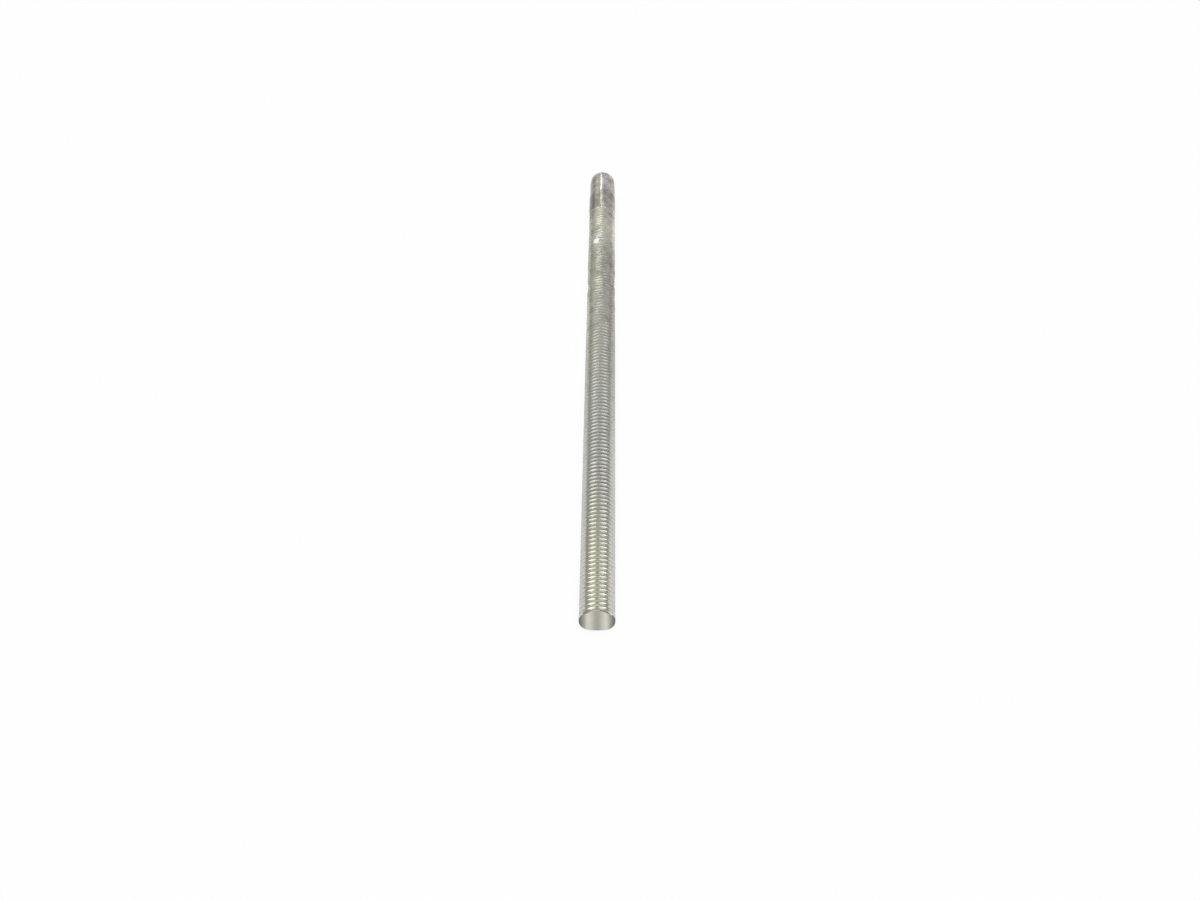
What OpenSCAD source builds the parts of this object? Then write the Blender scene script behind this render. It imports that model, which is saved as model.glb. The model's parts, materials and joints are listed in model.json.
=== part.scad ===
// A steel rod with a coarse right-hand metric screw thread over most of its length
// and a short plain end. It lies along Y with its cut end at -Y, its plain end at +Y
// and its underside on z = 0, and the origin is under the middle of its length.
// The thread's grooves are rings of the true pitch, depth and flank angle: each one
// stands for one turn of the helix.

/* [Bar] */
// Length from the cut face to the tip of the plain end
rod_len = 250; // [120:5:400]
// Diameter of the bar, which is also the diameter over the thread's crests
bar_d = 11.85; // [9:0.05:16]
// Width of the broken edge around the cut face
cut_edge = 0.2; // [0.05:0.05:0.5]

/* [Thread] */
// Distance from one crest to the next
pitch = 1.75; // [1:0.05:2.5]
// Angle between the two flanks of a groove
flank_angle = 60; // [50:1:62]
// Width of a crest as a share of the pitch
crest_share = 0.125; // [0.1:0.005:0.2]
// Depth of a groove as a share of the pitch
depth_share = 0.6134; // [0.45:0.005:0.66]
// Number of turns over which the last grooves get shallower
runout_turns = 3; // [1:1:6]

/* [Plain end] */
// Length of the end that has no thread
plain_len = 28; // [22:1:60]
// Length of the tip that is thinner than the bar
tip_len = 16; // [13:0.5:20]
// Length of the slope from the bar down to the tip
slope_len = 4; // [1:0.5:6]
// Step from the bar's surface down to the tip's surface
tip_step = 0.18; // [0.17:0.01:0.5]
// Length over which the tip is rounded towards its end
round_len = 5; // [3:0.5:6.5]
// Drop of the rounded surface over that length
round_drop = 0.33; // [0.1:0.01:0.8]
// Width of the broken edge around the end
rim_edge = 0.4; // [0.1:0.05:0.8]

/* [Hidden] */
steel = [0.63, 0.62, 0.58];
$fn = 72;
bar_r = bar_d / 2;
thread_len = rod_len - plain_len;
thread_depth = depth_share * pitch;
flank_run = thread_depth * tan(flank_angle / 2);
root_w = pitch * (1 - crest_share) - 2 * flank_run;
groove_count = floor((thread_len - cut_edge) / pitch);
first_groove = thread_len - groove_count * pitch + pitch / 2;
tip_r = bar_r - tip_step;
round_start = rod_len - round_len;
// The rounded stretch is an arc that meets the tip's wall without a corner
round_arc = (round_len ^ 2 + round_drop ^ 2) / (2 * round_drop);
end_r = tip_r - round_drop;

// Depth of one groove, counted from the cut end: full, then shallower to the last one
function groove_depth(i) =
    thread_depth * min(1, (groove_count - i) / (runout_turns + 1));

// The four corners of one groove, as [radius, distance from the cut face]
function groove(i) =
    let (
        middle = first_groove + i * pitch,
        depth = groove_depth(i),
        run = depth * tan(flank_angle / 2)
    )
    [
        [bar_r, middle - root_w / 2 - run],
        [bar_r - depth, middle - root_w / 2],
        [bar_r - depth, middle + root_w / 2],
        [bar_r, middle + root_w / 2 + run]
    ];

// Half of the rod's lengthwise section up to the start of the rounded tip
module bar_section() {
    polygon(concat(
        [[0, 0], [bar_r - cut_edge, 0], [bar_r, cut_edge]],
        [for (i = [0 : groove_count - 1]) each groove(i)],
        [
            [bar_r, rod_len - tip_len],
            [tip_r, rod_len - tip_len + slope_len],
            [tip_r, round_start],
            [0, round_start]
        ]
    ));
}

// Half of the section of the rounded tip, with the broken edge at its end
module tip_section() {
    intersection() {
        translate([tip_r - round_arc, round_start])
            circle(r = round_arc, $fn = 720);
        polygon([
            [0, round_start],
            [tip_r, round_start],
            [tip_r, rod_len - rim_edge - round_drop],
            [end_r - rim_edge, rod_len],
            [0, rod_len]
        ]);
    }
}

module threaded_rod() {
    color(steel)
        translate([0, -rod_len / 2, bar_r])
            rotate([-90, 0, 0])
                rotate_extrude() {
                    bar_section();
                    tip_section();
                }
}

threaded_rod();
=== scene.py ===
"""Dresses the steel threaded rod: a true helical thread, a worn zinc finish and a plain white table."""

import json
from math import atan2, cos, pi, radians, sin, sqrt, tan

import bmesh
import bpy
from mathutils import Matrix, Vector, noise


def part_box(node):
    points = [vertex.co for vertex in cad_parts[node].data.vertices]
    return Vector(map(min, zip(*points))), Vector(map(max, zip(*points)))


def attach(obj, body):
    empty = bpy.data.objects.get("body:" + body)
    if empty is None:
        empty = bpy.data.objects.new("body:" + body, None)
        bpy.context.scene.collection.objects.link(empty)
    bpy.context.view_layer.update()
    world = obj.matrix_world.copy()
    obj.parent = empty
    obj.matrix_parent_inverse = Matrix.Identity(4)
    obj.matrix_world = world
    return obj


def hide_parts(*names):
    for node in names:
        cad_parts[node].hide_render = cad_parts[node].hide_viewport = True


bl_info = {
    "name": "Threaded Rod",
    "version": (1, 0, 0),
    "blender": (4, 5, 0),
    "location": "View3D > Sidebar > Threaded Rod",
    "description": "Builds a threaded steel rod with one plain end, and the white table that it lies on",
    "category": "Object",
}

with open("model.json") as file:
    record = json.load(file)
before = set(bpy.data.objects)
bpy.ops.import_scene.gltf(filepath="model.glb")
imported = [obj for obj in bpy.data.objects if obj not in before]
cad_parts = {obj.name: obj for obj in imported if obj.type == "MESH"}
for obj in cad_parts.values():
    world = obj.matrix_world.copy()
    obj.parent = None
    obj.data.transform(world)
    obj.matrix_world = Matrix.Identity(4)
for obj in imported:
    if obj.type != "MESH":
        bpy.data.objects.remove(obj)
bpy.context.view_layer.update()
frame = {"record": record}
ROD_LOW, ROD_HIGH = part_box("threaded_rod")
ROD_LENGTH = ROD_HIGH.y - ROD_LOW.y
ROD_RADIUS = (ROD_HIGH.x - ROD_LOW.x) / 2
MOUNTS = {mount["name"]: mount for mount in frame["record"]["mounts"]}

MM = 0.001
TIP_RADIUS = MOUNTS["tip"]["dims"]["r_mm"] * MM
ROD_START = Vector((0, ROD_LOW.y, (ROD_LOW.z + ROD_HIGH.z) / 2))
WELD = 0.002 * MM

# The thread's sweep, and the number of steps in each part of the plain end.
STEPS_A_TURN = 80
SPARE_TURNS = 5
SHANK_STEPS = 4
SLOPE_STEPS = 4
TIP_STEPS = 4
ROUND_STEPS = 8
RIM_STEPS = 3
END_INSET = 0.2 * MM
SHARP_ANGLE = radians(38)
FLAT_FACING = 0.999

# The hammered spot: how deep its middle lies, the way it faces, its half sizes and its soft edge.
SPOT_DEPTH = 0.12 * MM
SPOT_AZIMUTH = radians(-40)
SPOT_ELEVATION = radians(72)
SPOT_ACROSS = 1.3 * MM
SPOT_ALONG = 1.8 * MM
SPOT_REACH = 1.4 * MM
SPOT_EDGE = (0.9, 1.25)

# Worn crests: how fine the patches are round and along the rod, and where the last turns wear evenly.
PATCH_TURN = 3.2
PATCH_PITCHES = 2.6
EVEN_WEAR = (16 * MM, 11 * MM)


# ---------------------------------------------------------------- sizes and colours


class RodSizes(bpy.types.PropertyGroup):
    """The sizes of the rod that can be set."""

    pitch: bpy.props.FloatProperty(
        name="Pitch", description="From one crest to the next",
        default=1.75 * MM, unit="LENGTH", precision=5,
    )
    plain_length: bpy.props.FloatProperty(
        name="Plain end", description="Length of the end with no thread", default=28 * MM, unit="LENGTH"
    )
    depth_share: bpy.props.FloatProperty(
        name="Depth", description="Depth of the groove, as a share of the pitch", default=0.6134
    )
    flank_angle: bpy.props.FloatProperty(
        name="Flank angle", description="Angle between a groove's two flanks",
        default=radians(60), subtype="ANGLE",
    )
    crest_share: bpy.props.FloatProperty(
        name="Crest", description="Width of the flat on a ridge, as a share of the pitch", default=0.125
    )
    crest_round: bpy.props.FloatProperty(
        name="Crest rounding", description="How far the corners of a crest are rolled over",
        default=0.09 * MM, unit="LENGTH",
    )
    runout_turns: bpy.props.FloatProperty(
        name="Run-out", description="Turns over which the groove fades out at the plain end", default=1.2
    )
    tip_length: bpy.props.FloatProperty(
        name="Tip length", description="Length of the thinner tip, with its slope",
        default=16 * MM, unit="LENGTH",
    )
    slope_length: bpy.props.FloatProperty(
        name="Slope", description="Length of the slope down to the tip", default=4 * MM, unit="LENGTH"
    )
    round_length: bpy.props.FloatProperty(
        name="Rounded length", description="Length of the rounded end of the tip",
        default=5 * MM, unit="LENGTH",
    )
    round_drop: bpy.props.FloatProperty(
        name="Rounding", description="How far the rounded end falls away", default=0.33 * MM, unit="LENGTH"
    )
    rim_edge: bpy.props.FloatProperty(
        name="Rim", description="Width of the broken edge round the tip's end",
        default=0.4 * MM, unit="LENGTH",
    )
    first_root: bpy.props.FloatProperty(
        name="First root", description="Distance of the first groove's root from the cut, at the top",
        default=0.42 * MM, unit="LENGTH",
    )
    crest_wear: bpy.props.FloatProperty(
        name="Crest wear", description="How much is rubbed off the worst crests",
        default=0.28 * MM, unit="LENGTH",
    )
    burr_length: bpy.props.FloatProperty(
        name="Burr", description="How far the saw's burr closes the first groove",
        default=0.5 * MM, unit="LENGTH",
    )
    cut_bevel: bpy.props.FloatProperty(
        name="Cut bevel", description="Broken edge round the cut face", default=0.10 * MM, unit="LENGTH"
    )
    burr_start: bpy.props.FloatProperty(
        name="Burr start", description="Turn from the top at which the burr starts", default=radians(42),
        subtype="ANGLE",
    )
    flare_length: bpy.props.FloatProperty(
        name="Flare", description="How far the cutter has squashed the cut end out",
        default=1.6 * MM, unit="LENGTH",
    )
    flare_power: bpy.props.FloatProperty(
        name="Flare squareness", description="2 leaves the underside round, and more squares it",
        default=2.8,
    )
    spot_along: bpy.props.FloatProperty(
        name="Spot along", description="Distance of the hammered spot from the cut end", default=196.4 * MM,
        unit="LENGTH",
    )
    spot_turn: bpy.props.FloatProperty(
        name="Spot turn", description="Turn of the hammered spot from the top", default=radians(-24),
        subtype="ANGLE",
    )


class RodFinish(bpy.types.PropertyGroup):
    """The colours and the finish of the rod that can be set."""

    steel: bpy.props.FloatVectorProperty(
        name="Steel", description="Colour of the clean metal",
        default=(0.583, 0.583, 0.560), subtype="COLOR",
    )
    warm_reflection_colour: bpy.props.FloatVectorProperty(
        name="Warm reflection tint", description="Warmer colour towards the cut end",
        default=(0.60, 0.603, 0.485), subtype="COLOR",
    )
    far_warm_reflection_colour: bpy.props.FloatVectorProperty(
        name="Far warm reflection tint", description="Brighter, warm colour towards the plain end",
        default=(0.82, 0.823, 0.695), subtype="COLOR",
    )
    grime_and_shade: bpy.props.FloatVectorProperty(
        name="Grime", description="Colour of the dirt in the grooves",
        default=(0.17, 0.165, 0.14), subtype="COLOR",
    )
    roughness: bpy.props.FloatProperty(
        name="Roughness", description="Roughness of the clean metal", default=0.26, subtype="FACTOR"
    )


class StageSizes(bpy.types.PropertyGroup):
    """The table, the lights and the camera."""

    table_width: bpy.props.FloatProperty(
        name="Table", description="Width of the table", default=8.0, unit="LENGTH"
    )
    lens: bpy.props.FloatProperty(name="Lens", description="Focal length in millimetres", default=33.8)
    depression: bpy.props.FloatProperty(
        name="Camera tilt", description="How far the camera looks down",
        default=radians(46.6), subtype="ANGLE",
    )
    heading: bpy.props.FloatProperty(
        name="Camera heading", description="Turn of the camera to the left of the rod",
        default=radians(0.5), subtype="ANGLE",
    )
    distance: bpy.props.FloatProperty(
        name="Camera distance", description="From the camera to the point it aims at",
        default=0.41385, unit="LENGTH",
    )
    aim_across: bpy.props.FloatProperty(
        name="Aim beside", description="Distance of the aim point to the right of the rod",
        default=0.31 * MM, unit="LENGTH",
    )
    aim_along: bpy.props.FloatProperty(
        name="Aim point", description="Distance of the aim point from the cut end",
        default=0.0752, unit="LENGTH",
    )


# ---------------------------------------------------------------- the rod's shape


def thread_profile(sizes):
    """Points (along, radius) over one pitch, from the middle of one groove to the middle of the next."""
    pitch = sizes.pitch
    depth = sizes.depth_share * pitch
    root = ROD_RADIUS - depth
    crest_half = sizes.crest_share * pitch / 2
    crest_start = pitch / 2 - crest_half
    flank_run = depth * tan(sizes.flank_angle / 2)
    root_half = crest_start - flank_run
    corner = sizes.crest_round
    side = [
        (0, root),
        (root_half, root + 0.25 * root_half),
        (crest_start - corner * 0.9, ROD_RADIUS - corner * 1.35),
        (crest_start - corner * 0.1, ROD_RADIUS - corner * 0.35),
        (pitch / 2 - crest_half * 0.45, ROD_RADIUS),
    ]
    other_side = [(pitch - along, radius) for along, radius in reversed(side)]
    return side + other_side


def sweep_thread(bm, sizes, turns):
    """A right-hand helix of so many turns, whose groove starts at the top of the cut end."""
    points = [bm.verts.new((0, along - sizes.pitch / 2, radius)) for along, radius in thread_profile(sizes)]
    edges = [bm.edges.new(pair) for pair in zip(points, points[1:])]
    bmesh.ops.spin(
        bm, geom=points + edges, axis=(0, 1, 0), cent=(0, 0, 0), angle=2 * pi, steps=STEPS_A_TURN,
        dvec=(0, sizes.pitch / STEPS_A_TURN, 0), use_merge=False, use_duplicate=False,
    )
    one_turn = list(bm.verts) + list(bm.edges) + list(bm.faces)
    bmesh.ops.translate(bm, verts=bm.verts, vec=(0, sizes.first_root - sizes.pitch * 1.5, 0))
    for turn in range(1, turns):
        copy = bmesh.ops.duplicate(bm, geom=one_turn)["geom"]
        copied = [element for element in copy if isinstance(element, bmesh.types.BMVert)]
        bmesh.ops.translate(bm, verts=copied, vec=(0, turn * sizes.pitch, 0))
    bmesh.ops.remove_doubles(bm, verts=bm.verts, dist=WELD)


def cut_across(bm, along, keep_beyond):
    """Saws the swept thread square at a distance from the cut end."""
    geometry = list(bm.verts) + list(bm.edges) + list(bm.faces)
    bmesh.ops.bisect_plane(
        bm, geom=geometry, dist=1e-9, plane_co=(0, along, 0), plane_no=(0, 1, 0),
        clear_inner=keep_beyond, clear_outer=not keep_beyond,
    )


def edge_ring(bm, along):
    """The open edges that lie at a distance from the cut end."""
    return [
        edge for edge in bm.edges
        if edge.is_boundary and all(abs(vert.co.y - along) < 2 * WELD for vert in edge.verts)
    ]


def polar(point):
    """A point's distance from the axis, and its turn from the top towards +X."""
    return sqrt(point.x ** 2 + point.z ** 2), atan2(point.x, point.z)


def set_radius(vert, radius):
    """Moves a vertex straight in or out from the axis."""
    turn = polar(vert.co)[1]
    vert.co.x = radius * sin(turn)
    vert.co.z = radius * cos(turn)


def ease(value, start, end):
    """0 before start, 1 after end and a smooth step between."""
    share = min(max((value - start) / (end - start), 0), 1)
    return share * share * (3 - 2 * share)


def fade_groove(bm, sizes, thread_length):
    """The groove runs out over the last turns of the thread."""
    start = thread_length - sizes.runout_turns * sizes.pitch
    for vert in bm.verts:
        radius = polar(vert.co)[0]
        depth = (ROD_RADIUS - radius) * (1 - ease(vert.co.y, start, thread_length))
        set_radius(vert, ROD_RADIUS - depth)


def wear_crests(bm, sizes, thread_length):
    """Crests are rubbed down in patches, most of all in the last third, and evenly over the last turns."""
    for vert in bm.verts:
        radius, turn = polar(vert.co)
        along = vert.co.y
        turns = along / (PATCH_PITCHES * sizes.pitch)
        patch = 0.5 + 0.9 * noise.noise(Vector((PATCH_TURN * sin(turn), turns, PATCH_TURN * cos(turn))))
        zone = 0.18 + 0.82 * ease(along, 0.60 * thread_length, 0.72 * thread_length)
        zone += 0.7 * ease(along, 0.72 * thread_length, 0.76 * thread_length) * (
            1 - ease(along, 0.80 * thread_length, 0.84 * thread_length)
        )
        even = ease(along, thread_length - EVEN_WEAR[0], thread_length - EVEN_WEAR[1])
        rubbed = sizes.crest_wear * (zone * max(patch, 0) * (1 - even) + 0.7 * even)
        set_radius(vert, min(radius, ROD_RADIUS - rubbed))


def direction(azimuth, elevation):
    """A unit vector. Azimuth 0 points along the rod from its middle to its cut end, and grows to +X."""
    return Vector((sin(azimuth) * cos(elevation), -cos(azimuth) * cos(elevation), sin(elevation)))


def close_first_groove(bm, sizes):
    """The cut runs out in the first groove at the top, and its burr closes that groove lower down."""
    root = ROD_RADIUS - sizes.depth_share * sizes.pitch
    for vert in bm.verts:
        radius, turn = polar(vert.co)
        if vert.co.y < sizes.first_root + sizes.pitch * turn / (2 * pi):
            radius += (root - radius) * (1 - ease(abs(turn), sizes.burr_start, pi / 2))
        closed = ease(abs(turn), sizes.burr_start, pi / 2) * (1 - ease(vert.co.y, 0, sizes.burr_length))
        set_radius(vert, radius + (ROD_RADIUS - radius) * closed)


def flare_cut_end(bm, sizes):
    """The cutter has squashed the cut end's underside square, within the rod's own width and height."""
    power = sizes.flare_power
    for vert in bm.verts:
        radius, turn = polar(vert.co)
        if abs(turn) > pi / 2 and vert.co.y < sizes.flare_length:
            square = (abs(sin(turn)) ** power + abs(cos(turn)) ** power) ** (-1 / power)
            share = 1 - ease(vert.co.y, 0, sizes.flare_length)
            set_radius(vert, radius * (1 + (square - 1) * share))


def hammered_spot(sizes):
    """Where the hammered spot's middle is, on the rod's own axis, and the way that it faces."""
    turn = sizes.spot_turn
    outwards = Vector((sin(turn), 0, cos(turn)))
    middle = outwards * (ROD_RADIUS - SPOT_DEPTH) + Vector((0, sizes.spot_along, 0))
    return middle, direction(SPOT_AZIMUTH, SPOT_ELEVATION)


def hammer_spot(bm, sizes):
    """A blow has smeared a few ridges into one small flat near the far end of the thread."""
    middle, facing = hammered_spot(sizes)
    for vert in bm.verts:
        away = vert.co - middle
        off = away.dot(facing)
        across = away - facing * off
        reach = Vector((across.x / SPOT_ACROSS, across.y / SPOT_ALONG, 0)).length
        if reach < SPOT_EDGE[1] and abs(off) < SPOT_REACH:
            vert.co -= facing * off * (1 - ease(reach, *SPOT_EDGE))


def extrude_ring(bm, edges, step, radius):
    """Draws an open ring out by a step along the rod and sets its radius."""
    new = bmesh.ops.extrude_edge_only(bm, edges=edges)["geom"]
    verts = [element for element in new if isinstance(element, bmesh.types.BMVert)]
    bmesh.ops.translate(bm, verts=verts, vec=(0, step, 0))
    for vert in verts:
        set_radius(vert, radius)
    return [element for element in new if isinstance(element, bmesh.types.BMEdge)]


def plain_end(bm, sizes, ring):
    """The shank, the slope down to the tip, the rounded end and its broken edge."""
    shank = sizes.plain_length - sizes.tip_length
    tip = sizes.tip_length - sizes.slope_length - sizes.round_length
    for part in range(SHANK_STEPS):
        ring = extrude_ring(bm, ring, shank / SHANK_STEPS, ROD_RADIUS)
    for part in range(1, SLOPE_STEPS + 1):
        radius = ROD_RADIUS + (TIP_RADIUS - ROD_RADIUS) * ease(part / SLOPE_STEPS, 0, 1)
        ring = extrude_ring(bm, ring, sizes.slope_length / SLOPE_STEPS, radius)
    for part in range(TIP_STEPS):
        ring = extrude_ring(bm, ring, tip / TIP_STEPS, TIP_RADIUS)
    arc = (sizes.round_length ** 2 + sizes.round_drop ** 2) / (2 * sizes.round_drop)
    straight = sizes.round_length - sizes.rim_edge
    for part in range(1, ROUND_STEPS + 1):
        along = straight * part / ROUND_STEPS
        ring = extrude_ring(bm, ring, straight / ROUND_STEPS, TIP_RADIUS - arc + sqrt(arc ** 2 - along ** 2))
    rim = TIP_RADIUS - arc + sqrt(arc ** 2 - straight ** 2)
    for part in range(1, RIM_STEPS + 1):
        turn = pi / 2 * part / RIM_STEPS
        before = pi / 2 * (part - 1) / RIM_STEPS
        step = sizes.rim_edge * (sin(turn) - sin(before))
        ring = extrude_ring(bm, ring, step, rim - sizes.rim_edge * (1 - cos(turn)))
    return ring


def close_ring(bm, ring, inset):
    """Closes an open ring with a narrow ring of faces and a flat fan inside it."""
    face = bmesh.ops.contextual_create(bm, geom=ring)["faces"][0]
    border = bmesh.ops.inset_region(bm, faces=[face], thickness=inset, depth=0)["faces"]
    fan = bmesh.ops.poke(bm, faces=[face])["faces"]
    return border + fan


def new_piece(name, bm, materials):
    """A finished mesh as an object of the scene, moved from its own axis to the rod's place."""
    bmesh.ops.recalc_face_normals(bm, faces=bm.faces)
    bm.transform(Matrix.Translation(ROD_START))
    mesh = bpy.data.meshes.new(name)
    bm.to_mesh(mesh)
    bm.free()
    for material in materials:
        mesh.materials.append(material)
    piece = bpy.data.objects.new(name, mesh)
    bpy.context.scene.collection.objects.link(piece)
    return piece


# The places of the rod's three materials.
THREAD, PLAIN, CUT = range(3)


def rod_mesh(sizes):
    """The whole rod as a bmesh, with its cut end at y = 0 and its axis along Y."""
    bm = bmesh.new()
    thread_length = ROD_LENGTH - sizes.plain_length
    sweep_thread(bm, sizes, int(thread_length / sizes.pitch) + SPARE_TURNS)
    cut_across(bm, 0, True)
    cut_across(bm, thread_length, False)
    fade_groove(bm, sizes, thread_length)
    wear_crests(bm, sizes, thread_length)
    hammer_spot(bm, sizes)
    close_first_groove(bm, sizes)
    flare_cut_end(bm, sizes)
    cut_ring = edge_ring(bm, 0)
    cut_faces = close_ring(bm, cut_ring, sizes.cut_bevel)
    rim = list({vert for edge in cut_ring for vert in edge.verts})
    bmesh.ops.translate(bm, verts=rim, vec=(0, sizes.cut_bevel, 0))
    last_ring = plain_end(bm, sizes, edge_ring(bm, thread_length))
    end_faces = close_ring(bm, last_ring, END_INSET)
    for face in bm.faces:
        face.smooth = True
        beyond_thread = face.calc_center_median().y > thread_length
        face.material_index = PLAIN if beyond_thread else THREAD
    for face in cut_faces:
        face.material_index = CUT
    for face in end_faces + cut_faces:
        face.smooth = abs(face.normal.y) < FLAT_FACING
    for edge in bm.edges:
        if edge.calc_face_angle(0) > SHARP_ANGLE and edge.verts[0].co.y < 2 * sizes.cut_bevel:
            edge.smooth = False
    return bm


# ---------------------------------------------------------------- the finish

# Stretches of the rod over which its finish changes, in metres from the cut end.
DIRTY_SHADED_EDGE = (0.5 * MM, 1.0 * MM)
WARM_END = (0.008, 0.075)
DIRT_AND_SHADE = (0.010, 0.085)
PALE_CRESTS = (0.015, 0.055)
LIT_GROOVES_END = (0.020, 0.060)
WARM_RIDGE = (0.030, 0.070)
POLISHED = (0.030, 0.080)
STAINED_FROM = (0.060, 0.120)
DARK_CRESTS = (0.060, 0.190)
WARM_FAR = (0.080, 0.155)
DULL = (0.090, 0.140)
TARNISHED = (0.090, 0.150)
FAR_THREAD = (0.140, 0.190)
STAINED_THREAD = (0.180, 0.195)
SHINY = (0.184, 0.202)
WARM_FADE = (0.185, 0.210)
LAST_TURNS = (0.211, 0.222)
STAINED_LEFT = (0.212, 0.232)
SHANK_START = (0.2215, 0.2225)
SATIN_SHANK = (0.222, 0.229)
STAINED_RIGHT = (0.222, 0.234)
WARM_TIP = (0.228, 0.242)
SHANK_END = (0.2345, 0.2375)

# The tops of the ridges, as distances from the axis.
CREST_BAND = (ROD_RADIUS - 0.14 * MM, ROD_RADIUS - 0.02 * MM)

# Tones that darken the metal under them.
AGED_TONE = (0.80, 0.79, 0.77)
TARNISH_TONE = (0.76, 0.745, 0.75)
DULL_TONE = (0.85, 0.85, 0.85)
SHANK_TONE = (0.76, 0.75, 0.73)
PAINTED_CREST_SHADE = (0.36, 0.36, 0.345)
SIDE_SHADE_TONE = (0.66, 0.65, 0.63)
SCUFF_TONE = (0.66, 0.65, 0.62)
MOTTLE_TONE = (0.60, 0.58, 0.56)
CUT_LINE_TONE = (0.70, 0.69, 0.66)
SIDE_STAIN = (0.38, 0.35, 0.32)

# Colours of the metal where it isn't as the coat left it, of painted light in the grooves, and of the plain
# end with its painted warm reflection.
PAINTED_GROOVE_LIGHT = (0.86, 0.865, 0.74)
RUBBED_CRESTS = (0.76, 0.755, 0.72)
BARE_SPOT = (0.77, 0.77, 0.735)
PLAIN_METAL = (0.72, 0.705, 0.69)
PLAIN_WARM_REFLECTION = (0.70, 0.70, 0.60)

# The cut face from its upright middle line to its sides: place and brightness of each band of painted
# reflection of the two side lamps.
CUT_MIDDLE = (0.40, 0.393, 0.345)
CUT_PAINTED_REFLECTION = ((0.18, 0.44), (0.49, 0.80), (0.66, 0.44), (0.88, 0.20))
CUT_TINT = (1, 0.99, 0.86)
CUT_SIDES = (0.15, 0.145, 0.135)
CUT_LINES = (9000, 9000, 700)

# Half sizes of the bare metal round the hammered spot.
MARK_SIZES = (1.35 * MM, 1.7 * MM, 2 * MM)


# ---------------------------------------------------------------- nodes


def add(tree, kind, inputs=None, **settings):
    """A node with its settings and inputs: an input is a value, or another node's output to link."""
    node = tree.nodes.new(kind)
    for name, value in settings.items():
        setattr(node, name, value)
    for name, value in (inputs or {}).items():
        if isinstance(value, bpy.types.NodeSocket):
            tree.links.new(value, node.inputs[name])
        else:
            node.inputs[name].default_value = value
    return node


def calc(tree, operation, first, second=0.0, third=0.0, clamp=False):
    """The result of a Math node."""
    inputs = {0: first, 1: second, 2: third}
    return add(tree, "ShaderNodeMath", inputs, operation=operation, use_clamp=clamp).outputs[0]


def times(tree, first, second, clamp=False):
    """Two values multiplied."""
    return calc(tree, "MULTIPLY", first, second, clamp=clamp)


def blend(tree, mask, first, second, mode="MIX"):
    """Two colours mixed by a mask: a colour is another node's output, or three numbers."""
    colours = [tone if isinstance(tone, bpy.types.NodeSocket) else (*tone, 1) for tone in (first, second)]
    inputs = {0: mask, 6: colours[0], 7: colours[1]}
    return add(tree, "ShaderNodeMix", inputs, data_type="RGBA", blend_type=mode).outputs[2]


def darken(tree, mask, metal, tone):
    """The metal's colour multiplied by a tone where the mask is."""
    return blend(tree, mask, metal, tone, "MULTIPLY")


def between(tree, value, low, high, to_low=0.0, to_high=1.0):
    """A value carried smoothly from one range to another."""
    inputs = {"Value": value, "From Min": low, "From Max": high, "To Min": to_low, "To Max": to_high}
    return add(tree, "ShaderNodeMapRange", inputs, interpolation_type="SMOOTHSTEP").outputs["Result"]


def vector_calc(tree, operation, first, second=(0, 0, 0)):
    """A Vector Math node."""
    return add(tree, "ShaderNodeVectorMath", {0: first, 1: second}, operation=operation)


def noise_at(tree, vector, scale, detail=2.0, roughness=0.5):
    """Soft noise, about 0.5 on average."""
    inputs = {"Vector": vector, "Scale": scale, "Detail": detail, "Roughness": roughness}
    return add(tree, "ShaderNodeTexNoise", inputs).outputs["Fac"]


def unevenness(tree, vector, size, detail, amount):
    """Noise of a size that goes as far below 0 as above it."""
    cloud = noise_at(tree, vector, 1 / size, detail)
    return times(tree, calc(tree, "SUBTRACT", cloud, 0.5), amount)


def across_rod(tree, place):
    """How far a point lies to the right of the axis: 1 is the rod's radius."""
    parts = add(tree, "ShaderNodeSeparateXYZ", {"Vector": place}).outputs
    return calc(tree, "DIVIDE", parts["X"], ROD_RADIUS)


def new_group(name, inputs, outputs):
    """An empty node group: inputs are given as name, kind and default, and outputs as name and kind."""
    group = bpy.data.node_groups.new(name, "ShaderNodeTree")
    for label, kind, default in inputs:
        socket = group.interface.new_socket(label, in_out="INPUT", socket_type="NodeSocket" + kind)
        if default is not None:
            socket.default_value = default
    for label, kind in outputs:
        group.interface.new_socket(label, in_out="OUTPUT", socket_type="NodeSocket" + kind)
    return group, group.nodes.new("NodeGroupInput").outputs, group.nodes.new("NodeGroupOutput")


def finish_group(group, output_node, **results):
    """Links a group's results to its outputs."""
    for name, socket in results.items():
        group.links.new(socket, output_node.inputs[name])
    return group


def round_the_rod():
    """Where a point lies on the rod: its distance from the axis, along the rod, and a vector round it."""
    group, given, out = new_group(
        "Round the rod", [("Vector", "Vector", None)],
        [("Radius", "Float"), ("Along", "Float"), ("Around", "Vector")],
    )
    placed = vector_calc(group, "SUBTRACT", given["Vector"], ROD_START).outputs[0]
    parts = add(group, "ShaderNodeSeparateXYZ", {"Vector": placed}).outputs
    across = add(group, "ShaderNodeCombineXYZ", {"X": parts["X"], "Y": 0.0, "Z": parts["Z"]}).outputs[0]
    radius = vector_calc(group, "LENGTH", across).outputs["Value"]
    turned = vector_calc(group, "NORMALIZE", across).outputs[0]
    turn = add(group, "ShaderNodeSeparateXYZ", {"Vector": turned}).outputs
    along_mm = calc(group, "DIVIDE", parts["Y"], MM)
    around = add(group, "ShaderNodeCombineXYZ", {"X": turn["X"], "Y": along_mm, "Z": turn["Z"]}).outputs[0]
    return finish_group(group, out, Radius=radius, Along=parts["Y"], Around=around)


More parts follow.
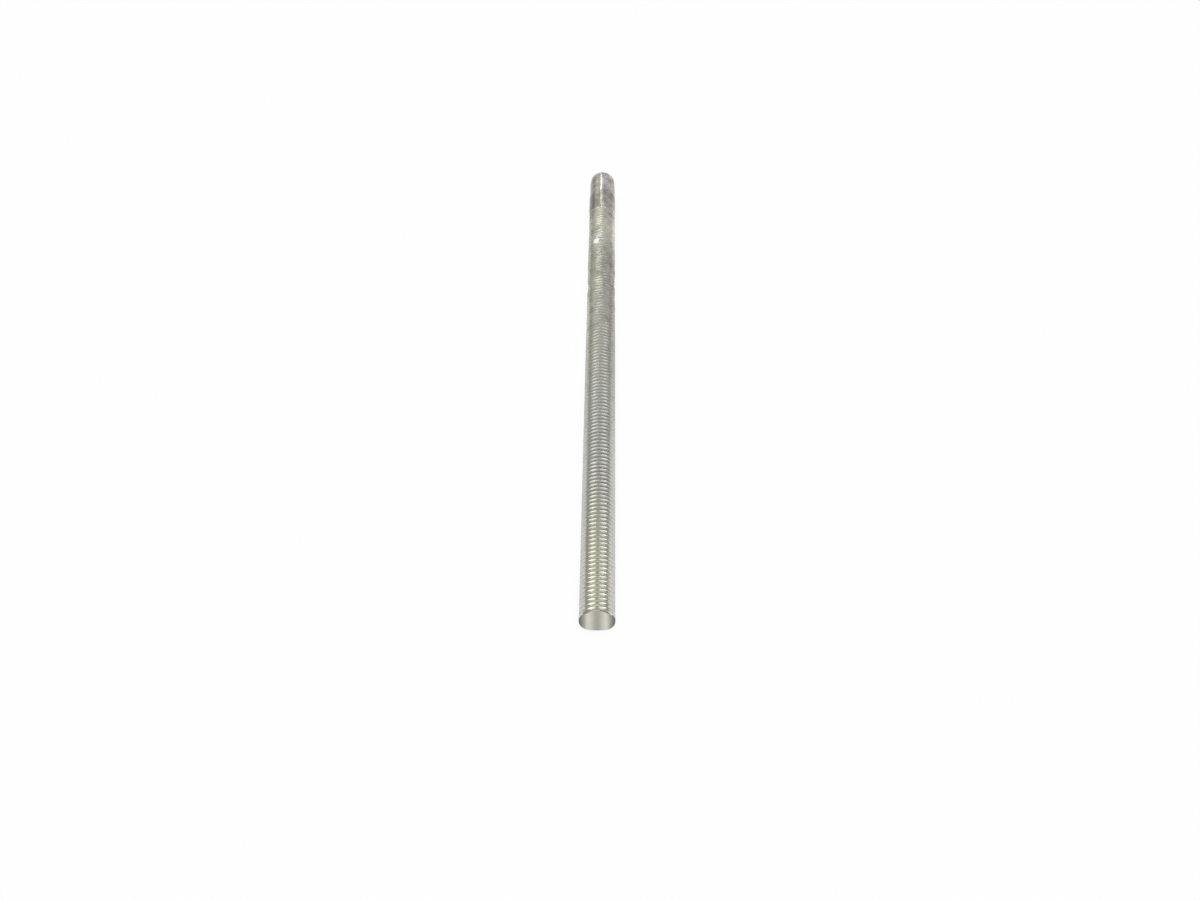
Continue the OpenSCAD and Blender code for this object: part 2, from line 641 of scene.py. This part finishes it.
def turning_marks():
    """Fine lines that run round the rod, as a lathe or a thread roller leaves them."""
    group, given, out = new_group(
        "Turning marks",
        [("Around", "Vector", None), ("Lines per mm", "Float", 4.0), ("Breaks", "Float", 2.0)],
        [("Marks", "Float")],
    )
    scales = {"X": given["Breaks"], "Y": given["Lines per mm"], "Z": given["Breaks"]}
    scale = add(group, "ShaderNodeCombineXYZ", scales).outputs[0]
    stretched = vector_calc(group, "MULTIPLY", given["Around"], scale).outputs[0]
    lines = noise_at(group, stretched, 1.0, 3.0, 0.6)
    return finish_group(group, out, Marks=between(group, lines, 0.3, 0.7))


def blotches():
    """Soft patches of an aged zinc coat, from 0 to 1."""
    group, given, out = new_group(
        "Blotches", [("Vector", "Vector", None), ("Size", "Float", 3 * MM), ("Share", "Float", 0.5)],
        [("Mask", "Float")],
    )
    scale = calc(group, "DIVIDE", 1.0, given["Size"])
    cloud = noise_at(group, given["Vector"], scale, 4.0, 0.6)
    start = calc(group, "SUBTRACT", 0.75, times(group, given["Share"], 0.5))
    end = calc(group, "ADD", start, 0.18)
    return finish_group(group, out, Mask=between(group, cloud, start, end))


def groove_grime_and_shade():
    """Dirt and painted shade in the grooves: 1 in the root and 0 on the upper flanks, broken up a little."""
    group, given, out = new_group(
        "Groove grime",
        [("Vector", "Vector", None), ("Radius", "Float", ROD_RADIUS), ("Clean from", "Float", 0.6 * MM)],
        [("Mask", "Float")],
    )
    depth = calc(group, "SUBTRACT", ROD_RADIUS, given["Radius"])
    uneven = unevenness(group, given["Vector"], 0.8 * MM, 3.0, 0.5 * MM)
    depth = calc(group, "ADD", depth, uneven)
    end = calc(group, "ADD", given["Clean from"], 0.55 * MM)
    return finish_group(group, out, Mask=between(group, depth, given["Clean from"], end))


def rubbed_crests():
    """Bright metal where the crests are rubbed: 1 on the very top of a ridge."""
    group, given, out = new_group(
        "Rubbed crests",
        [("Vector", "Vector", None), ("Radius", "Float", ROD_RADIUS), ("Depth", "Float", 0.2 * MM)],
        [("Mask", "Float")],
    )
    depth = calc(group, "SUBTRACT", ROD_RADIUS, given["Radius"])
    mask = between(group, depth, 0.0, given["Depth"], to_low=1.0, to_high=0.0)
    cloud = noise_at(group, given["Vector"], 1 / (1.5 * MM), 3.0)
    return finish_group(group, out, Mask=times(group, mask, between(group, cloud, 0.35, 0.6)))


def painted_warm_reflection():
    """Painted warm tint of the lamps' reflection in the metal's colour, as one mask towards the cut end and
    one towards the plain end.
    """
    group, given, out = new_group(
        "Painted warm reflection", [("Vector", "Vector", None), ("Along", "Float", 0.0)],
        [("Near", "Float"), ("Far", "Float")],
    )
    along = given["Along"]
    side = across_rod(group, given["Vector"])
    cloud = between(group, noise_at(group, given["Vector"], 1 / (6 * MM), 2.0), 0.3, 0.7, 0.75, 1.0)
    near = between(group, along, *WARM_END, to_low=0.85, to_high=0.1)
    # A painted warm highlight in a stripe left of the top, near the cut end.
    off_ridge = calc(group, "ABSOLUTE", calc(group, "ADD", side, 0.27))
    ridge = between(group, off_ridge, 0.08, 0.45, to_low=0.55, to_high=0.0)
    ridge = times(group, ridge, between(group, along, *WARM_RIDGE, to_low=1.0, to_high=0.0))
    near = times(group, calc(group, "ADD", near, ridge), cloud, clamp=True)
    # Less of the painted tint at the sides, which reflect the white table.
    rim = between(group, calc(group, "ABSOLUTE", side), 0.60, 0.92, to_low=1.0, to_high=0.3)
    near = times(group, near, rim)
    far = times(group, between(group, along, *WARM_FAR), cloud)
    fade = between(group, along, *WARM_FADE, to_low=0.55, to_high=0.08)
    fade = times(group, fade, between(group, side, -0.3, 0.7))
    far = times(group, far, calc(group, "SUBTRACT", 1.0, fade))
    return finish_group(group, out, Near=near, Far=far)


def hammered_mark():
    """Bare bright metal where the hammered spot is."""
    group, given, out = new_group(
        "Hammered mark", [("Vector", "Vector", None), ("Place", "Vector", None)], [("Mask", "Float")],
    )
    away = vector_calc(group, "SUBTRACT", given["Vector"], given["Place"]).outputs[0]
    scaled = vector_calc(group, "MULTIPLY", away, [1 / size for size in MARK_SIZES]).outputs[0]
    reach = vector_calc(group, "LENGTH", scaled).outputs["Value"]
    reach = calc(group, "ADD", reach, unevenness(group, given["Vector"], 0.8 * MM, 2.0, 0.5))
    return finish_group(group, out, Mask=between(group, reach, 0.85, 1.1, to_low=1.0, to_high=0.0))


def side_stains():
    """Stains down both sides of the rod, deepest on the left of the plain end."""
    group, given, out = new_group(
        "Side stains", [("Vector", "Vector", None), ("Along", "Float", 0.0)], [("Mask", "Float")],
    )
    along = given["Along"]
    side = across_rod(group, given["Vector"])
    side = calc(group, "ADD", side, unevenness(group, given["Vector"], 1.6 * MM, 3.0, 0.12))
    left = between(group, side, -0.74, -0.48, to_low=1.0, to_high=0.0)
    left = times(group, left, between(group, along, *STAINED_LEFT, to_low=0.25, to_high=1.0))
    on_thread = between(group, along, *STAINED_THREAD, to_low=0.32, to_high=0.0)
    on_plain_end = between(group, along, *STAINED_RIGHT, to_low=0.0, to_high=0.85)
    right = between(group, side, 0.55, 0.80)
    right = times(group, right, calc(group, "ADD", on_thread, on_plain_end))
    mask = times(group, calc(group, "MAXIMUM", left, right), between(group, along, *STAINED_FROM))
    return finish_group(group, out, Mask=mask)


def place_group(tree, group, inputs):
    """A node group placed in a material with its own values."""
    return add(tree, "ShaderNodeGroup", inputs, node_tree=group).outputs


def patches(tree, groups, place, size, share):
    """Blotches of a size, over a share of the metal."""
    inputs = {"Vector": place, "Size": size, "Share": share}
    return place_group(tree, groups["blotches"], inputs)["Mask"]


def lines_round(tree, groups, around, lines_a_mm, breaks):
    """Turning marks, so many to the millimetre and broken so often."""
    inputs = {"Around": around, "Lines per mm": lines_a_mm, "Breaks": breaks}
    return place_group(tree, groups["marks"], inputs)["Marks"]


def finish_metal(tree, shader, metal, rough, height, strength, distance):
    """Links a metal's colour, roughness and fine relief to its shader."""
    tree.links.new(metal, shader.inputs["Base Color"])
    tree.links.new(rough, shader.inputs["Roughness"])
    bump = add(tree, "ShaderNodeBump", {"Height": height, "Strength": strength, "Distance": distance})
    tree.links.new(bump.outputs[0], shader.inputs["Normal"])


def new_material(name):
    """A material with an empty tree, its Principled shader and its Object coordinates."""
    material = bpy.data.materials.new(name)
    material.use_nodes = True
    tree = material.node_tree
    tree.nodes.clear()
    shader = add(tree, "ShaderNodeBsdfPrincipled")
    shader.inputs["Metallic"].default_value = 1
    add(tree, "ShaderNodeOutputMaterial", {"Surface": shader.outputs[0]})
    return material, tree, shader, add(tree, "ShaderNodeTexCoord").outputs["Object"]


def thread_steel(groups, finish, sizes):
    """Rolled thread: grooves darkened by grime and painted shade, a painted warm reflection tint towards
    both ends, painted dark reflection on the crest tops, dull in the middle, polished at the far end.
    """
    material, tree, shader, place = new_material("thread_steel")
    where = place_group(tree, groups["place"], {"Vector": place})
    along = where["Along"]
    marks = lines_round(tree, groups, where["Around"], 9.0, 1.5)
    aged = patches(tree, groups, place, 2.5 * MM, 0.5)
    nicks = patches(tree, groups, place, 1.2 * MM, 0.12)
    grime_and_shade = place_group(tree, groups["grime_and_shade"], {"Vector": place, "Radius": where["Radius"]})["Mask"]
    crest = place_group(tree, groups["crests"], {"Vector": place, "Radius": where["Radius"]})["Mask"]
    warm_reflection = place_group(tree, groups["warm_reflection"], {"Vector": place, "Along": along})
    middle = hammered_spot(sizes)[0] + ROD_START
    bare = place_group(tree, groups["bare"], {"Vector": place, "Place": middle})["Mask"]

    # The coat: a painted warm reflection tint at both ends, aged in patches, with dirt and painted shade in
    # its grooves and dirt in its nicks.
    far = between(tree, along, *FAR_THREAD)
    metal = blend(tree, warm_reflection["Near"], finish.steel, finish.warm_reflection_colour)
    metal = blend(tree, warm_reflection["Far"], metal, finish.far_warm_reflection_colour)
    metal = darken(tree, times(tree, aged, 0.35), metal, AGED_TONE)
    tarnish = patches(tree, groups, place, 4.5 * MM, 0.55)
    tarnish = times(tree, tarnish, between(tree, along, *TARNISHED, to_low=0.15, to_high=0.85))
    metal = darken(tree, tarnish, metal, TARNISH_TONE)
    # Dirt and painted shade in the roots, stronger away from the cut end.
    dirt_and_shade = between(tree, along, *DIRT_AND_SHADE, to_low=0.0, to_high=0.85)
    dirt_and_shade = calc(tree, "SUBTRACT", dirt_and_shade, times(tree, far, 0.20))
    dirt_and_shade = times(tree, grime_and_shade, dirt_and_shade)
    metal = blend(tree, dirt_and_shade, metal, finish.grime_and_shade)
    metal = blend(tree, times(tree, nicks, 0.45), metal, finish.grime_and_shade)
    shiny = between(tree, along, *SHINY)
    dull = times(tree, between(tree, along, *DULL), calc(tree, "SUBTRACT", 1.0, shiny))
    metal = darken(tree, dull, metal, DULL_TONE)
    last = times(tree, between(tree, along, *LAST_TURNS), calc(tree, "ADD", aged, 0.55), clamp=True)
    metal = darken(tree, last, metal, SHANK_TONE)

    # The crests: painted dark reflection on their tops towards the cut end, and painted shade in blotches
    # down both sides.
    side = calc(tree, "ABSOLUTE", across_rod(tree, place))
    # Painted dark reflection on the crest tops, strongest towards the cut end and weaker at the sides.
    top = between(tree, where["Radius"], *CREST_BAND)
    top = times(tree, top, between(tree, along, *DARK_CRESTS, to_low=1.0, to_high=0.1))
    top = times(tree, top, between(tree, side, 0.55, 0.75, to_low=1.0, to_high=0.4))
    top = times(tree, top, between(tree, along, *PALE_CRESTS, to_low=0.70, to_high=1.0))
    metal = darken(tree, top, metal, PAINTED_CREST_SHADE)
    # Painted shade in blotches, in a band down both sides of the top.
    worn = patches(tree, groups, place, 1.1 * MM, 0.45)
    worn = times(tree, worn, between(tree, side, 0.50, 0.66, to_low=0.0, to_high=0.75))
    metal = darken(tree, worn, metal, SIDE_SHADE_TONE)

    # The ends: painted light in the grooves near the cut, dirt and painted shade in the first groove at the
    # cut, scuffs and rubbed crests further on.
    # Painted light in the grooves near the cut end.
    groove_light = between(tree, along, *LIT_GROOVES_END, to_low=1.0, to_high=0.0)
    metal = blend(tree, times(tree, grime_and_shade, groove_light), metal, PAINTED_GROOVE_LIGHT)
    # Dirt and painted shade in the first groove behind the cut face.
    edge = between(tree, along, *DIRTY_SHADED_EDGE, to_low=0.65, to_high=0.0)
    metal = blend(tree, times(tree, grime_and_shade, edge), metal, finish.grime_and_shade)
    scuffs = lines_round(tree, groups, where["Around"], 1.1, 2.2)
    metal = darken(tree, times(tree, times(tree, scuffs, far), 0.7), metal, SCUFF_TONE)
    polish = between(tree, along, *POLISHED, to_low=0.0, to_high=0.35)
    polish = calc(tree, "MULTIPLY_ADD", shiny, 0.4, polish)
    metal = blend(tree, times(tree, crest, polish), metal, RUBBED_CRESTS)
    stained = place_group(tree, groups["sides"], {"Vector": place, "Along": along})["Mask"]
    metal = darken(tree, stained, metal, SIDE_STAIN)
    metal = blend(tree, bare, metal, BARE_SPOT)

    rough = between(tree, along, *LIT_GROOVES_END, to_low=finish.roughness - 0.07, to_high=finish.roughness)
    rough = calc(tree, "ADD", rough, times(tree, dirt_and_shade, 0.34))
    rough = calc(tree, "ADD", rough, times(tree, aged, 0.08))
    buffed = calc(tree, "MULTIPLY_ADD", shiny, 0.10, 0.06)
    rough = calc(tree, "SUBTRACT", rough, times(tree, crest, buffed), clamp=True)
    finish_metal(tree, shader, metal, rough, marks, 0.35, 0.012 * MM)
    return material


def plain_steel(groups, finish):
    """Turned plain end: lines round it, mottled stains, a few dark specks, and a duller shank."""
    material, tree, shader, place = new_material("plain_end_steel")
    where = place_group(tree, groups["place"], {"Vector": place})
    along = where["Along"]
    marks = lines_round(tree, groups, where["Around"], 5.0, 0.8)
    mottle = patches(tree, groups, place, 3.2 * MM, 0.7)
    specks = patches(tree, groups, place, 0.9 * MM, 0.2)
    warm_reflection = place_group(tree, groups["warm_reflection"], {"Vector": place, "Along": along})["Far"]
    side = across_rod(tree, place)
    # Painted warm reflection tint, strongest on the left and weaker on the right.
    warm = times(tree, warm_reflection, between(tree, side, -0.3, 0.3, to_low=1.0, to_high=0.28))
    warm = times(tree, warm, between(tree, along, *WARM_TIP, to_low=1.0, to_high=0.55))
    metal = blend(tree, warm, PLAIN_METAL, PLAIN_WARM_REFLECTION)
    metal = darken(tree, times(tree, mottle, 0.8), metal, MOTTLE_TONE)
    shank = times(
        tree, between(tree, along, *SHANK_START), between(tree, along, *SHANK_END, to_low=1.0, to_high=0.0)
    )
    metal = darken(tree, shank, metal, SHANK_TONE)
    stained = place_group(tree, groups["sides"], {"Vector": place, "Along": along})["Mask"]
    metal = darken(tree, stained, metal, SIDE_STAIN)
    metal = blend(tree, times(tree, specks, 0.7), metal, finish.grime_and_shade)

    rough = between(tree, along, *SATIN_SHANK, to_low=0.25, to_high=0.14)
    rough = calc(tree, "ADD", rough, times(tree, mottle, 0.08))
    rough = calc(tree, "ADD", rough, times(tree, marks, 0.04), clamp=True)
    finish_metal(tree, shader, metal, rough, marks, 0.3, 0.006 * MM)
    return material


def cut_steel():
    """Sheared end face: upright bands of painted reflection of the two side lamps, darker in the middle and
    at both sides.
    """
    material, tree, shader, place = new_material("cut_face_steel")
    side = calc(tree, "ABSOLUTE", across_rod(tree, place))
    side = calc(tree, "ADD", side, unevenness(tree, place, 2.5 * MM, 2.0, 0.08))
    # Painted reflection: the face's colour is set by its distance from the upright middle line.
    bands = add(tree, "ShaderNodeValToRGB", {"Fac": side})
    stops = bands.color_ramp.elements
    stops[0].color = (*CUT_MIDDLE, 1)
    stops[1].color = (*CUT_SIDES, 1)
    for position, tone in CUT_PAINTED_REFLECTION:
        red, green, blue = CUT_TINT
        stops.new(position).color = (red * tone, green * tone, blue * tone, 1)
    bands.color_ramp.interpolation = "B_SPLINE"
    stretched = add(tree, "ShaderNodeMapping", {"Vector": place, "Scale": CUT_LINES}).outputs[0]
    lines = noise_at(tree, stretched, 1.0, 3.0, 0.6)
    mask = between(tree, lines, 0.35, 0.75, to_low=0.0, to_high=0.35)
    metal = darken(tree, mask, bands.outputs["Color"], CUT_LINE_TONE)
    rough = calc(tree, "ADD", 0.34, times(tree, lines, 0.15))
    finish_metal(tree, shader, metal, rough, lines, 0.5, 0.012 * MM)
    return material


def table_white():
    """White table: plain white to the camera and in the metal, with the rod's shadow kept."""
    material = bpy.data.materials.new("table_white")
    material.use_nodes = True
    tree = material.node_tree
    tree.nodes.clear()
    ray = add(tree, "ShaderNodeLightPath").outputs
    seen = calc(tree, "MAXIMUM", ray["Is Glossy Ray"], ray["Is Transmission Ray"])
    seen = calc(tree, "MAXIMUM", seen, ray["Is Camera Ray"])
    # Where the rod occludes the floor, this occlusion mask lets the floor's own shading show through the
    # white, which keeps the rod's contact shadow.
    near = add(tree, "ShaderNodeAmbientOcclusion", {"Distance": CONTACT_REACH}, samples=8).outputs["AO"]
    seen = times(tree, seen, between(tree, near, 0.05, 0.6, to_low=0.25, to_high=0.97))
    paint = add(tree, "ShaderNodeBsdfDiffuse", {"Color": (0.95, 0.95, 0.95, 1)})
    white = add(tree, "ShaderNodeEmission", {"Color": (1, 1, 1, 1), "Strength": 1.0})
    both = add(tree, "ShaderNodeMixShader", {0: seen, 1: paint.outputs[0], 2: white.outputs[0]})
    add(tree, "ShaderNodeOutputMaterial", {"Surface": both.outputs[0]})
    return material


# ---------------------------------------------------------------- the stage

# Each light's name, azimuth and elevation in degrees, distance, width, height and brightness.
LIGHTS = (
    ("left_soft_box", -17.5, 22, 2.5, 1.13, 0.79, 1.42),
    ("left_low_box", -17.5, 9, 2.5, 1.13, 0.36, 2.40),
    ("right_soft_box", 24.5, 22, 2.5, 1.18, 0.84, 0.88),
    ("right_low_box", 23.5, 7, 2.5, 1.18, 0.41, 2.70),
    ("strip_light", 186.5, 28, 1.5, 0.065, 0.38, 4.2),
    ("low_left_light", 204, 22, 1.5, 0.45, 0.40, 0.22),
    ("top_soft_box", -150, 64, 1.6, 1.9, 1.7, 0.62),
)

# The world's grey, from its low side to its high side, and how far the high side leans over.
WORLD_HEIGHTS = (-0.35, 0.75)
WORLD_GREYS = (0.21, 0.60)
WORLD_LIFT_AHEAD = 0.35
WORLD_LIFT_BESIDE = 0.30

CONTACT_REACH = 8 * MM
SENSOR_WIDTH = 36


def table(sizes):
    """The table that the rod lies on."""
    bm = bmesh.new()
    bmesh.ops.create_grid(bm, x_segments=1, y_segments=1, size=sizes.table_width / 2)
    mesh = bpy.data.meshes.new("table")
    bm.to_mesh(mesh)
    bm.free()
    mesh.materials.append(table_white())
    piece = bpy.data.objects.new("table", mesh)
    bpy.context.scene.collection.objects.link(piece)


def soft_light(name, azimuth, elevation, distance, width, height, brightness):
    """A flat soft box that faces the rod. Its brightness is what the metal sees."""
    data = bpy.data.lights.new(name, "AREA")
    data.shape = "RECTANGLE"
    data.size = width
    data.size_y = height
    data.energy = brightness * pi * width * height
    lamp = bpy.data.objects.new(name, data)
    towards = direction(radians(azimuth), radians(elevation))
    lamp.location = towards * distance
    lamp.rotation_euler = towards.to_track_quat("Z", "Y").to_euler()
    bpy.context.scene.collection.objects.link(lamp)


def studio():
    """Two boxes on each side of the camera, two lights far ahead, one above, and a plain grey world."""
    for light in LIGHTS:
        soft_light(*light)
    world = bpy.data.worlds.new("studio")
    bpy.context.scene.world = world
    world.use_nodes = True
    tree = world.node_tree
    towards = add(tree, "ShaderNodeTexCoord").outputs["Generated"]
    parts = add(tree, "ShaderNodeSeparateXYZ", {"Vector": towards}).outputs
    height = calc(tree, "ADD", parts["Z"], times(tree, parts["Y"], WORLD_LIFT_AHEAD))
    beside = times(tree, calc(tree, "ABSOLUTE", parts["X"]), WORLD_LIFT_BESIDE)
    height = calc(tree, "ADD", height, beside)
    grey = tree.nodes["Background"].inputs
    tree.links.new(between(tree, height, *WORLD_HEIGHTS, *WORLD_GREYS), grey["Strength"])
    grey["Color"].default_value = (1, 1, 1, 1)


def camera(sizes):
    """The camera, which looks down along the rod from the cut end."""
    data = bpy.data.cameras.new("camera")
    data.sensor_width = SENSOR_WIDTH
    data.lens = sizes.lens
    data.clip_start = 10 * MM
    piece = bpy.data.objects.new("camera", data)
    aim = ROD_START + Vector((sizes.aim_across, sizes.aim_along, 0))
    look = Vector((-sin(sizes.heading), cos(sizes.heading), 0)) * cos(sizes.depression)
    look.z = -sin(sizes.depression)
    piece.location = aim - look * sizes.distance
    piece.rotation_euler = look.to_track_quat("-Z", "Y").to_euler()
    bpy.context.scene.collection.objects.link(piece)
    bpy.context.scene.camera = piece


# ---------------------------------------------------------------- operators and panel


class ROD_OT_rod(bpy.types.Operator):
    """Build the threaded rod over its plain solid"""

    bl_idname = "rod.build_rod"
    bl_label = "Threaded rod"

    def execute(self, context):
        sizes = context.scene.rod_sizes
        finish = context.scene.rod_finish
        groups = {
            "place": round_the_rod(),
            "marks": turning_marks(),
            "blotches": blotches(),
            "grime_and_shade": groove_grime_and_shade(),
            "crests": rubbed_crests(),
            "warm_reflection": painted_warm_reflection(),
            "bare": hammered_mark(),
            "sides": side_stains(),
        }
        materials = [thread_steel(groups, finish, sizes), plain_steel(groups, finish), cut_steel()]
        rod = new_piece("rod", rod_mesh(sizes), materials)
        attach(rod, "root")
        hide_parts("threaded_rod")
        return {"FINISHED"}


class ROD_OT_stage(bpy.types.Operator):
    """Set the white table, the lights and the camera"""

    bl_idname = "rod.set_stage"
    bl_label = "Table, lights and camera"

    def execute(self, context):
        sizes = context.scene.rod_stage
        table(sizes)
        studio()
        camera(sizes)
        context.scene.view_settings.view_transform = "Standard"
        return {"FINISHED"}


class ROD_PT_panel(bpy.types.Panel):
    """The rod's sizes and finish, and the steps that build it"""

    bl_label = "Threaded Rod"
    bl_idname = "ROD_PT_panel"
    bl_space_type = "VIEW_3D"
    bl_region_type = "UI"
    bl_category = "Threaded Rod"

    def draw(self, context):
        for settings in (context.scene.rod_sizes, context.scene.rod_finish, context.scene.rod_stage):
            box = self.layout.box()
            for name in settings.__annotations__:
                box.prop(settings, name)
        self.layout.operator(ROD_OT_rod.bl_idname)
        self.layout.operator(ROD_OT_stage.bl_idname)


CLASSES = (RodSizes, RodFinish, StageSizes, ROD_OT_rod, ROD_OT_stage, ROD_PT_panel)


def register():
    for kind in CLASSES:
        bpy.utils.register_class(kind)
    bpy.types.Scene.rod_sizes = bpy.props.PointerProperty(type=RodSizes)
    bpy.types.Scene.rod_finish = bpy.props.PointerProperty(type=RodFinish)
    bpy.types.Scene.rod_stage = bpy.props.PointerProperty(type=StageSizes)


def unregister():
    del bpy.types.Scene.rod_stage
    del bpy.types.Scene.rod_finish
    del bpy.types.Scene.rod_sizes
    for kind in reversed(CLASSES):
        bpy.utils.unregister_class(kind)


def main():
    register()
    bpy.ops.rod.build_rod()
    bpy.ops.rod.set_stage()


if __name__ == "__main__":
    main()
